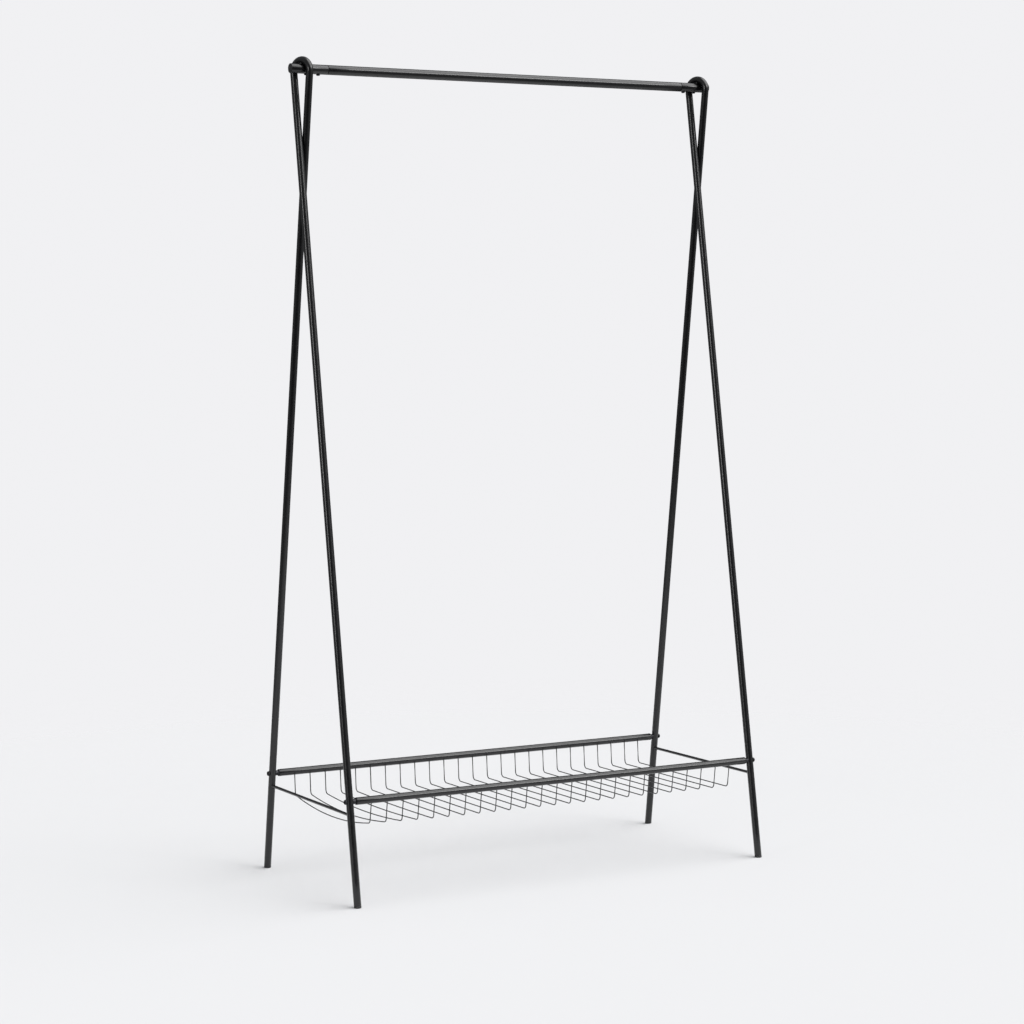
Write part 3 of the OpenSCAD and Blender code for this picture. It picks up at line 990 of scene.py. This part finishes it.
class RACK_OT_shelf_wires(bpy.types.Operator):
    """Bend the shelf wires and weld them under the two rails"""
    bl_idname = "rack.shelf_wires"
    bl_label = "Shelf Wires"

    def execute(self, context):
        shelf = context.scene.rack_shelf
        r = shelf.wire_radius
        flare = [(0.0060, r), (0.0034, r), (0.0022, 1.06 * r), (0.0014, 1.24 * r), (0.0008, 1.50 * r),
                 (0.0003, 1.74 * r), (0.0, 1.80 * r), (-0.0004, 1.66 * r)]
        for index, node in enumerate(WIRES):
            path = wire_path(node, shelf)
            ends = []
            for front in (True, False):
                line = path if front else path[::-1]
                up = (line[0] - line[1]).normalized()
                wander = 0.10 * noise.noise(Vector((index * 1.7, 3.1 if front else 8.4, 0.5)))
                outline = [(away, radius * (1 + wander * max(0.0, 1 - away / 0.003)))
                           for away, radius in flare]
                ends.append(seated(line[1], up, outline, rail_axis(front), WIRE_SIDES,
                                   ripple=WIRE_RIPPLE, waves=5, settle=0.003))
            between = sweep(path[1:-1], [r] * (len(path) - 2), WIRE_SIDES)
            front_end = match(mirrored(reversed(ends[0])), between[0])
            back_end = match(list(reversed(ends[1])), between[-1])
            skin = Skin(f"wire_{index + 1:02d}")
            skin.tube(front_end + between + list(reversed(back_end)))
            made = skin.piece([node], "coat", ["powder_coat", "weld_coat"])
            paint_near(made, (path[0], path[-1]), WIRE_WELD_REACH)
        return {"FINISHED"}


# ---- The stage ----

class RACK_OT_stage(bpy.types.Operator):
    """Lay the pale floor, hang the soft lights and place the camera"""
    bl_idname = "rack.stage"
    bl_label = "Stage"

    def execute(self, context):
        stage = context.scene.rack_stage
        context.scene.view_settings.view_transform = "Standard"
        lay_floor(stage)
        paint_surround(stage)
        hang_lights(stage)
        place_camera(stage)
        return {"FINISHED"}


def lay_floor(stage):
    """A disc that fades into the backdrop towards its rim."""
    disc = bmesh.new()
    rim = circle(Vector((0, 0, -0.0002)), ALONG, UP.cross(ALONG), FLOOR_REACH, 96)
    disc.faces.new([disc.verts.new(point) for point in rim])
    data = bpy.data.meshes.new("floor")
    disc.to_mesh(data)
    disc.free()
    floor = bpy.data.objects.new("floor", data)
    bpy.context.scene.collection.objects.link(floor)
    paper = Shader("floor_paper")
    place = paper.place()
    tone = paper.noise(place, 0.6, 2.0)
    fibre = paper.noise(place, 0.002, 3.0)
    colour = paper.mix(tone, shade(stage.floor, 0.995), shade(stage.floor, 1.005))
    paper.set(Base_Color=colour, Roughness=(0.85 + (fibre - 0.5) * 0.1).clamped())
    paper.main.inputs["Specular IOR Level"].default_value = 0.1
    far = paper.node("ShaderNodeVectorMath", {"operation": "LENGTH"}, {0: place}, "Value")
    paper.connect(1 - far.ramp(*FLOOR_FADE), paper.main.inputs["Alpha"])
    data.materials.append(paper.material)


def paint_surround(stage):
    """A plain backdrop for the eye. The light comes from a dim room, brighter above and at both sides."""
    world = bpy.data.worlds.new("studio")
    bpy.context.scene.world = world
    world.use_nodes = True
    world.node_tree.nodes.clear()
    sky = Nodes(world.node_tree)
    way = sky.node("ShaderNodeTexCoord", {}, {}, "Generated")
    right = camera_axes(stage)[0]
    to_right = sky.node("ShaderNodeVectorMath", {"operation": "DOT_PRODUCT"},
                        {0: way, 1: tuple(right)}, "Value")
    height = sky.node("ShaderNodeSeparateXYZ", {}, {"Vector": way}, "Z")
    glow = 0.10 + height.ramp(-0.1, 1.0) * 0.62 + to_right.ramp(0.45, 1.0) * 0.55
    glow = glow + (0 - to_right).ramp(0.55, 0.98) * 0.45
    room = sky.node("ShaderNodeBackground", {},
                    {"Color": (0.96, 0.98, 1.0, 1), "Strength": glow * stage.surround})
    backdrop = sky.node("ShaderNodeBackground", {}, {"Color": (*stage.backdrop, 1), "Strength": 1.0})
    seen = sky.node("ShaderNodeLightPath", {}, {}, "Is Camera Ray")
    both = sky.node("ShaderNodeMixShader", {}, {0: seen, 1: room, 2: backdrop})
    sky.node("ShaderNodeOutputWorld", {}, {"Surface": both}, None)


def hang_lights(stage):
    """One wide light overhead for the floor, and two narrow ones from the sides that streak the tubes."""
    right, _, ahead = camera_axes(stage)
    back = Vector((-ahead.x, -ahead.y, 0)).normalized()
    side = Vector((right.x, right.y, 0)).normalized()
    # name, direction towards the light, its width in degrees, strength
    spots = (("overhead", UP * 0.8 + back * 0.08 + side * 0.59, 72, stage.key),
             ("left_streak", back * 1.0 - side * 0.80 + UP * 0.22, 13, 0.12 * stage.key),
             ("right_streak", back * 0.45 + side * 0.79 + UP * 0.41, 12, 0.10 * stage.key))
    for name, toward, width, strength in spots:
        light = bpy.data.lights.new(name, "SUN")
        light.angle = math.radians(width)
        light.energy = strength
        lamp = bpy.data.objects.new(name, light)
        lamp.rotation_euler = toward.to_track_quat("Z", "Y").to_euler()
        bpy.context.scene.collection.objects.link(lamp)


def camera_axes(stage):
    """The camera's right, up and forward directions."""
    turn, tilt, roll = stage.camera_turn
    ahead = Vector((math.sin(turn) * math.cos(tilt), math.cos(turn) * math.cos(tilt), -math.sin(tilt)))
    right = Vector((math.cos(turn), -math.sin(turn), 0))
    up = right.cross(ahead)
    return right * math.cos(roll) + up * math.sin(roll), up * math.cos(roll) - right * math.sin(roll), ahead


def place_camera(stage):
    right, up, ahead = camera_axes(stage)
    lens = bpy.data.cameras.new("camera")
    lens.sensor_width = 36.0
    lens.lens = stage.lens
    lens.shift_y = stage.rise
    lens.clip_end = 50.0
    camera = bpy.data.objects.new("camera", lens)
    axes = Matrix((right, up, -ahead)).transposed().to_4x4()
    camera.matrix_world = Matrix.Translation(Vector(stage.camera_place)) @ axes
    bpy.context.scene.collection.objects.link(camera)
    bpy.context.scene.camera = camera


# ---- The add-on ----

OPERATORS = (RACK_OT_stage, RACK_OT_end_frames, RACK_OT_foot_plugs, RACK_OT_cross_rods,
             RACK_OT_hanging_rail, RACK_OT_rail_caps, RACK_OT_arch_welds, RACK_OT_rail_screws,
             RACK_OT_shelf_rails, RACK_OT_rail_necks, RACK_OT_shelf_bolts, RACK_OT_shelf_wires)


class VIEW3D_PT_rack(bpy.types.Panel):
    """Sizes, finishes and pieces of the rack"""
    bl_label = "Clothes Rack"
    bl_idname = "VIEW3D_PT_rack"
    bl_space_type = "VIEW_3D"
    bl_region_type = "UI"
    bl_category = "Rack"

    def draw(self, context):
        for group, kind in GROUPS.items():
            box = self.layout.box()
            for name in kind.__annotations__:
                box.prop(getattr(context.scene, group), name)
        for operator in OPERATORS:
            self.layout.operator(operator.bl_idname)


def register():
    for kind in (*GROUPS.values(), *OPERATORS, VIEW3D_PT_rack):
        bpy.utils.register_class(kind)
    for group, kind in GROUPS.items():
        setattr(bpy.types.Scene, group, bpy.props.PointerProperty(type=kind))


def unregister():
    for group in GROUPS:
        delattr(bpy.types.Scene, group)
    for kind in reversed((*GROUPS.values(), *OPERATORS, VIEW3D_PT_rack)):
        bpy.utils.unregister_class(kind)


def main():
    register()
    for operator in OPERATORS:
        module, name = operator.bl_idname.split(".")
        getattr(getattr(bpy.ops, module), name)()


if __name__ == "__main__":
    main()
